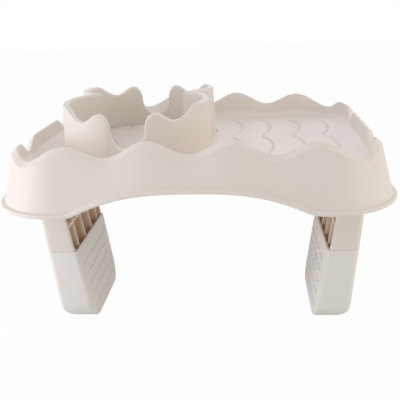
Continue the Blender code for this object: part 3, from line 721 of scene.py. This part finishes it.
def leg_half(leg):
    return boot_half(leg, leg.mouth)


def plug_half(leg):
    return leg_half(leg) - leg.plug_end


def core_in(leg, height):
    return boot_in(leg, leg.mouth) + leg.boot_wall + FIT + LEG_LEAN * (height - leg.mouth)


def core_foot(leg):
    return leg.boot_sole + FIT


def core_out(leg, height):
    face = boot_out(leg, leg.mouth) - leg.boot_wall - FIT + LEG_LEAN * (height - leg.mouth)
    return face - tuck(leg.round_out - leg.boot_sole, height - core_foot(leg))


def core_half(leg, height):
    face = boot_half(leg, height) - leg.boot_wall - FIT
    return face - tuck(leg.round_side - leg.boot_sole, height - core_foot(leg))


def leg_in(leg, height):
    """Open inner face of the leg above the boot."""
    return core_in(leg, leg.mouth) + LEAN_IN * (height - leg.mouth)


def plug_face(leg):
    return leg_in(leg, leg_top(leg)) + leg.plug_set


def plug_block(leg, side, rises, grow, half, corner, steps=5, middle=0):
    """The plug's block grown outward, leaning with the leg, at heights above its shoulder."""
    rises = np.array(rises)
    face = plug_face(leg) + LEG_LEAN * rises
    return block(side, leg_top(leg) + rises, face - grow, face + leg.plug_width + grow, half,
                 corner, corner, steps, middle)


def round_levels(foot, radius, steps):
    """Heights up a rounded lower edge, close together near its underside: a cosine's rise."""
    return foot + radius * (1 - np.cos(np.linspace(0, np.pi / 2, steps)))


def leg_shell(leg, side):
    """Outside of a leg: the core inside the boot, a step at its mouth, and the upper leg."""
    step = leg.mouth + FIT
    low = np.append(round_levels(core_foot(leg), leg.round_side - leg.boot_sole, 10), step)
    high = np.array([step, leg_top(leg)])
    core = block(side, low, core_in(leg, low), core_out(leg, low), core_half(leg, low),
                 leg.corner_in, leg.corner - leg.boot_wall, 8)
    upper = block(side, high, leg_in(leg, high), boot_out(leg, high), leg_half(leg),
                  leg.corner_in, leg.corner, 8)
    return np.concatenate([core, upper])


def bays(leg, half):
    """Middle and half width of each bay between the upright ribs and walls at the half depth."""
    ribs = (np.arange(RIBS) - (RIBS - 1) / 2) * leg.rib_pitch
    fronts = [-half, *(ribs + leg.rib / 2)]
    rears = [*(ribs - leg.rib / 2), half]
    return [((front + rear) / 2, (rear - front) / 2) for front, rear in zip(fronts, rears)]


def pocket_ends(leg):
    return core_foot(leg) + leg.sole, leg_top(leg) - leg.wall


def pocket_levels(leg):
    """Heights of the pockets: cross ribs at an even pitch, up and down from the one that shows."""
    low, high = pocket_ends(leg)
    cross = leg.cross_rib + leg.cross_pitch * np.arange(-3, 4)
    cross = cross[(cross > low + leg.cross_pitch / 4) & (cross < high - leg.cross_pitch / 4)]
    starts = np.append(low, cross + leg.rib / 2)
    ends = np.append(cross - leg.rib / 2, high)
    return zip(starts, ends)


def pocket_ledge(leg):
    return leg.mouth + FIT + leg.wall


def pocket_reach(leg, height):
    """Outer and front limits of the pockets: the leg's less its wall, or the core's in the boot."""
    covered = height <= pocket_ledge(leg)
    return (np.where(covered, core_out(leg, height), boot_out(leg, height)) - leg.wall,
            np.where(covered, core_half(leg, height), leg_half(leg)) - leg.wall)


def pockets(leg, side):
    """The pockets, open to the leg's inner side, with round corners at their back.

    Above the step at the boot's mouth they widen with the leg, one wall higher than the step.
    """
    ledge = pocket_ledge(leg)
    made = []
    for low, high in pocket_levels(leg):
        steps = (ledge, ledge + MM / 100) if low < ledge < high else ()
        heights = np.array([low, *steps, high])
        outer, half = pocket_reach(leg, heights)
        made += [block(side, heights, core_in(leg, heights) - leg.boot_wall, outer, wide,
                       MM / 10, POCKET_CORNER, 5, middle) for middle, wide in bays(leg, half)]
    return made


def plug_solids(leg, side):
    """The plug, sunk a little into the leg's shoulder, and the hollows that core it from above."""
    height, half, wall = leg.plug_height, plug_half(leg), leg.wall
    slope = np.array([0, 0, PLUG_EDGE / 2])
    plug = plug_block(leg, side, (-wall / 2, height - PLUG_EDGE, height), -slope, half - slope,
                      PLUG_CORNER)
    cores = [plug_block(leg, side, (wall / 2, height + wall), -wall, wide, MM, 4, middle)
             for middle, wide in bays(leg, half - wall)]
    return plug, cores


def mark_pocket_shade(piece, leg, side):
    """Mask of the painted pocket shade: depth behind the leg's open face over its reach, 0 outside
    the pockets.
    """
    mesh = piece.data
    place = np.empty(3 * len(mesh.vertices), np.float32)
    mesh.vertices.foreach_get("co", place)
    x, y, z = place.reshape(-1, 3).T
    far, half = pocket_reach(leg, z)
    low, high = pocket_ends(leg)
    within = (np.abs(y) < half + FIT) & (side * x < far + FIT) & (z > low - FIT) & (z < high + FIT)
    depth = np.maximum(side * x - leg_in(leg, z), 0) / leg.shade * within
    marks = mesh.attributes.new(POCKET, "FLOAT", "POINT").data
    marks.foreach_set("value", depth.astype(np.float32))


def build_leg(scene, side, node):
    """Leg: a rounded shell with a plug on top, cut into pockets between upright and cross ribs."""
    leg, finish = scene.tub_leg, scene.tub_finish
    plug, cores = plug_solids(leg, side)
    shell = leg_shell(leg, side)
    # the legs' material paints shade into the pockets: its tint darkens to finish.pockets with
    # depth
    piece = make_piece(node + "_frame", make_mesh(node, shell, loft(shell)),
                       cream_plastic(finish, "cream_plastic_ribbed", finish.pockets))
    carve(piece, [plug], "UNION")
    carve(piece, pockets(leg, side), "DIFFERENCE")
    carve(piece, cores, "DIFFERENCE")
    soften(piece)
    mark_pocket_shade(piece, leg, side)
    seat(piece, node)


# Boots

def hollow(leg, side, heights, grow=0):
    """The boot's hollow: the leg inside it, a gap higher up, grown by that gap."""
    match, grow = heights + FIT, FIT + grow
    return block(side, heights, core_in(leg, match) - grow, core_out(leg, match) + grow,
                 core_half(leg, match) + grow, leg.corner_in, leg.corner - leg.boot_wall + FIT, 10)


def boot_shell(leg, side):
    """A boot from its rounded underside up the outside, over its mouth and down to its sole."""
    deepest = max(leg.round_out, leg.round_side)
    turn = np.linspace(0, np.pi / 2, 5)
    low = round_levels(0, deepest, 18)
    rise = leg.mouth - BOOT_EDGE * (1 - np.sin(turn))
    inset = BOOT_EDGE * (1 - np.cos(turn))
    heights = np.concatenate([low, rise])
    shrink = np.concatenate([0 * low, inset])
    outside = block(side, heights, boot_in(leg, heights) + tuck(leg.round_in, heights) + shrink,
                    boot_out(leg, heights) - tuck(leg.round_out, heights) - shrink,
                    boot_half(leg, heights) - tuck(leg.round_side, heights) - shrink,
                    leg.boot_corner, leg.corner, 10)
    deep = round_levels(leg.boot_sole, deepest - leg.boot_sole, 10)[::-1]
    return np.concatenate([outside, hollow(leg, side, rise[::-1], inset[::-1]),
                           hollow(leg, side, deep)])


def grip_bars(leg, side):
    """Rows of domed grip bars on the boot's inner face, a long one between two short ones."""
    bars = []
    turn = np.linspace(0, 2 * np.pi, 24, endpoint=False)[None]
    step = (leg.grip_long + leg.grip_short) / 2 + leg.grip_gap
    rise = np.linspace(0, np.pi / 2 * GRIP_DOME, 4)
    depth = np.append(-leg.boot_wall / 2, leg.grip_rise * np.sin(rise))[:, None]
    width = np.append(1, np.cos(rise))[:, None] * leg.grip_width / 2
    for row in range(GRIP_ROWS):
        up = GRIP_FIRST + row * GRIP_PITCH + width * np.sin(turn)
        x = side * (boot_in(leg, up) - depth)
        for y, size in ((-step, leg.grip_short), (0, leg.grip_long), (step, leg.grip_short)):
            straight = (size - leg.grip_width) / 2
            along = y + np.sign(np.cos(turn)) * straight + width * np.cos(turn)
            bars.append(np.stack([x, along, up], -1))
    return bars


def build_boot(scene, side, node):
    """Boot: a hollow rounded shell with grip bars on its inner face."""
    leg = scene.tub_leg
    shell = boot_shell(leg, side)
    piece = make_piece(node + "_shell", make_mesh(node, shell, loft(shell)),
                       cream_rubber(scene.tub_finish))
    carve(piece, grip_bars(leg, side), "UNION")
    seat(piece, node)


# Materials

class Socket:
    """A node's output with arithmetic: an expression on it adds the Math nodes that work it out."""

    def __init__(self, recipe, output):
        self.recipe = recipe
        self.output = output

    def math(self, operation, *terms):
        return self.recipe.add("Math", dict(enumerate(terms)), operation=operation)

    def __add__(self, other):
        return self.math("ADD", self, other)

    def __mul__(self, other):
        return self.math("MULTIPLY", self, other)

    def __sub__(self, other):
        return self.math("SUBTRACT", self, other)

    def __rsub__(self, other):
        return self.math("SUBTRACT", other, self)

    __radd__ = __add__
    __rmul__ = __mul__


class Recipe:
    """The node tree of a material or the world, with one method that adds any node."""

    def __init__(self, owner, shader):
        self.owner = owner
        owner.use_nodes = True
        self.tree = owner.node_tree
        self.shader = self.tree.nodes[shader]

    def seen(self):
        """1 where the camera, a reflection or a clear surface looks at it, 0 where it lights."""
        camera, mirror, glass = [self.add("LightPath", {}, output="Is %s Ray" % kind)
                                 for kind in ("Camera", "Glossy", "Transmission")]
        return camera.math("MAXIMUM", camera.math("MAXIMUM", camera, mirror), glass)

    def add(self, kind, inputs, output=0, **settings):
        node = self.tree.nodes.new("ShaderNode" + kind)
        for key, value in settings.items():
            setattr(node, key, value)
        for key, value in inputs.items():
            self.feed(node.inputs[key], value)
        return Socket(self, node.outputs[output])

    def blend(self, factor, low, high):
        """A colour between two others."""
        return self.add("Mix", {0: factor, 6: low, 7: high}, output=2, data_type="RGBA")

    def feed(self, target, value):
        if isinstance(value, Socket):
            self.tree.links.new(value.output, target)
        else:
            target.default_value = value

    def set(self, **values):
        for key, value in values.items():
            self.feed(self.shader.inputs[key.replace("_", " ")], value)


def tinted(base, factor):
    return tuple(min(channel * f, 1) for channel, f in zip(base, factor)) + (1,)


CLOUD_SCALE = 11.0  # patches in a metre
MOTTLE_SCALE = 160.0
MOTTLE_SHARE = 0.2  # share of the mottle in the tint, the rest is the cloud's
DARK_TINT, PALE_TINT = (0.985, 0.98, 0.97), (1.015, 1.02, 1.03)
ROUGHNESS_SPREAD = 0.08
GRAIN_STRENGTH = 0.35
RUBBER_DULLNESS = 0.18  # how much rougher the rubber is than the plastic


def moulded(name, base, roughness, grain_size, grain_depth, shade=None):
    """Matt moulded surface: a faint cloud of two tints, fine grain and uneven roughness.

    Where a shade is given, the tints pass to it with the depth in a pocket: painted shade, warm
    and dim, that stands for the light between the ribs.
    """
    found = bpy.data.materials.get(name)
    if found:
        return found
    recipe = Recipe(bpy.data.materials.new(name), "Principled BSDF")
    place = recipe.add("TexCoord", {}, output="Object")
    cloud = recipe.add("TexNoise", {"Vector": place, "Scale": CLOUD_SCALE, "Detail": 3.0})
    mottle = recipe.add("TexNoise", {"Vector": place, "Scale": MOTTLE_SCALE, "Detail": 2.0})
    grain = recipe.add("TexNoise", {"Vector": place, "Scale": 1 / grain_size, "Detail": 2.0})
    tone = cloud * (1 - MOTTLE_SHARE) + mottle * MOTTLE_SHARE
    tint = recipe.blend(tone, tinted(base, DARK_TINT), tinted(base, PALE_TINT))
    if shade:
        # painted shade: the tint passes to the warm dim pocket colour with the depth in a pocket
        depth = recipe.add("Attribute", {}, output="Fac", attribute_name=POCKET)
        tint = recipe.blend(depth.math("MINIMUM", depth, 1.0), tint, (*shade, 1))
    bump = recipe.add("Bump", {"Strength": GRAIN_STRENGTH, "Distance": grain_depth,
                               "Height": grain})
    recipe.set(Base_Color=tint, Roughness=roughness + (mottle - 0.5) * ROUGHNESS_SPREAD,
               Normal=bump)
    return recipe.owner


def cream_plastic(finish, name="cream_plastic_moulding", shade=None):
    return moulded(name, finish.plastic, finish.roughness, 0.5 * MM, 0.03 * MM, shade)


def cream_rubber(finish):
    return moulded("cream_rubber_moulding", finish.rubber, finish.roughness + RUBBER_DULLNESS,
                   0.7 * MM, 0.05 * MM)


# Stage

FLOOR_REACH = 4.0  # from the middle to each of the floor's sides
CAMERA_PLACE = Vector((0.0576, -0.6807, RIM_HEIGHT + 0.1322))
CAMERA_RIGHT = (0.99632, 0.07597, -0.03973)
CAMERA_UP = (0.01299, 0.32426, 0.94588)
CAMERA_SHIFT = 0.0021
CAMERA_LENS = 54.1
LAMPS = (  # name, place, what it points at, width, tint
    ("key", (-0.8, -0.55, 0.5), (0, 0, 0.17), 0.55, (0.91, 0.92, 1.0)),
    ("low", (-1.1, -0.3, 0.16), (0, 0, 0.1), 0.4, (0.88, 0.93, 1.0)),
    ("fill", (1.4, -0.3, 0.5), (0, 0, 0.15), 1.0, (1.0, 0.95, 0.84)),
    ("top", (0, 0.1, 1.4), (0, 0, 0.2), 1.1, (0.77, 0.81, 1.0)),
    ("back", (0.1, 1.2, 0.6), (0, 0, 0.2), 0.9, (0.79, 0.83, 1.0)),
)


def stage_floor(look):
    """Pale floor that shows near white to the camera and keeps a soft shadow."""
    corners = np.array([(-1, -1, 0), (1, -1, 0), (1, 1, 0), (-1, 1, 0)]) * FLOOR_REACH
    mesh = make_mesh("floor", corners, [np.arange(4)[None]])
    recipe = Recipe(bpy.data.materials.new("pale_floor"), "Principled BSDF")
    recipe.set(Base_Color=(0.9, 0.9, 0.9, 1), Roughness=0.9)
    white = recipe.add("Emission", {"Color": (1, 1, 1, 1), "Strength": 1.0})
    surface = Socket(recipe, recipe.shader.outputs[0])
    mixed = recipe.add("MixShader", {0: recipe.seen() * look.backdrop, 1: surface, 2: white})
    recipe.feed(recipe.tree.nodes["Material Output"].inputs["Surface"], mixed)
    floor = make_piece("stage_floor", mesh, recipe.owner)


def lamp(name, place, target, size, tint, power):
    data = bpy.data.lights.new(name, "AREA")
    data.shape = "DISK"
    data.size = size
    data.energy = power
    data.color = tint
    thing = put(name, data)
    thing.location = place
    thing.rotation_euler = (Vector(target) - Vector(place)).to_track_quat("-Z", "Y").to_euler()


def sky(look):
    """Even light from all round, plain white where the camera or a reflection sees it."""
    recipe = Recipe(bpy.data.worlds.new("soft_room"), "Background")
    seen = recipe.seen()
    recipe.set(Color=(1, 1, 1, 1), Strength=seen + (1 - seen) * look.sky)
    bpy.context.scene.world = recipe.owner


def camera():
    """Camera at the front, a little to the right of the middle and above the rim, looking down."""
    data = bpy.data.cameras.new("camera")
    data.sensor_width = 36
    data.lens = CAMERA_LENS
    data.shift_y = CAMERA_SHIFT
    data.clip_start = 0.01
    thing = put("camera", data)
    right = Vector(CAMERA_RIGHT).normalized()
    up = Vector(CAMERA_UP).normalized()
    turn = Matrix((right, up, right.cross(up))).transposed().to_4x4()
    thing.matrix_world = Matrix.Translation(CAMERA_PLACE) @ turn
    bpy.context.scene.camera = thing


def build_stage(scene):
    look = scene.tub_stage
    stage_floor(look)
    sky(look)
    for row in LAMPS:
        lamp(*row, getattr(look, row[0]))
    camera()
    scene.view_settings.view_transform = "Standard"


# Operators and panel

class MakeTray(bpy.types.Operator):
    """Make the tray with its wavy rim, grooved floor and two sockets"""
    bl_idname = "tub_tray.tray"
    bl_label = "Tray"

    def execute(self, context):
        build_tray(context.scene)
        return {"FINISHED"}


class MakeRing(bpy.types.Operator):
    """Make the lift-out cup ring"""
    bl_idname = "tub_tray.cup_ring"
    bl_label = "Cup ring"

    def execute(self, context):
        build_ring(context.scene)
        return {"FINISHED"}


class MakeLegs(bpy.types.Operator):
    """Make the two ribbed legs with their plugs"""
    bl_idname = "tub_tray.legs"
    bl_label = "Legs"

    def execute(self, context):
        for side, node in ((-1, "leg_left"), (1, "leg_right")):
            build_leg(context.scene, side, node)
        return {"FINISHED"}


class MakeBoots(bpy.types.Operator):
    """Make the two boots with their grip bars"""
    bl_idname = "tub_tray.boots"
    bl_label = "Boots"

    def execute(self, context):
        for side, node in ((-1, "boot_left"), (1, "boot_right")):
            build_boot(context.scene, side, node)
        return {"FINISHED"}


class MakeStage(bpy.types.Operator):
    """Make the pale floor, the soft lamps and the camera"""
    bl_idname = "tub_tray.stage"
    bl_label = "Stage"

    def execute(self, context):
        build_stage(context.scene)
        return {"FINISHED"}


class TubTrayPanel(bpy.types.Panel):
    """Sizes, colours and makers of the tub tray."""
    bl_idname = "VIEW3D_PT_tub_tray"
    bl_label = "Tub Tray"
    bl_space_type = "VIEW_3D"
    bl_region_type = "UI"
    bl_category = "Tub Tray"

    def draw(self, context):
        for operator in MAKERS:
            self.layout.operator(operator.bl_idname)
        for name in GROUPS:
            box = self.layout.box()
            group = getattr(context.scene, name)
            for key in group.__annotations__:
                box.prop(group, key)


MAKERS = (MakeTray, MakeRing, MakeLegs, MakeBoots, MakeStage)
GROUPS = {
    "tub_tray": TrayShape,
    "tub_floor": FloorPattern,
    "tub_ring": RingShape,
    "tub_leg": LegShape,
    "tub_finish": Finish,
    "tub_stage": StageLook,
}


def register():
    for kind in (*GROUPS.values(), *MAKERS, TubTrayPanel):
        bpy.utils.register_class(kind)
    for name, group in GROUPS.items():
        setattr(bpy.types.Scene, name, PointerProperty(type=group))


def unregister():
    for name in GROUPS:
        delattr(bpy.types.Scene, name)
    for kind in (TubTrayPanel, *reversed(MAKERS), *reversed(GROUPS.values())):
        bpy.utils.unregister_class(kind)


def main():
    register()
    bpy.ops.tub_tray.tray()
    bpy.ops.tub_tray.cup_ring()
    bpy.ops.tub_tray.legs()
    bpy.ops.tub_tray.boots()
    bpy.ops.tub_tray.stage()


if __name__ == "__main__":
    main()
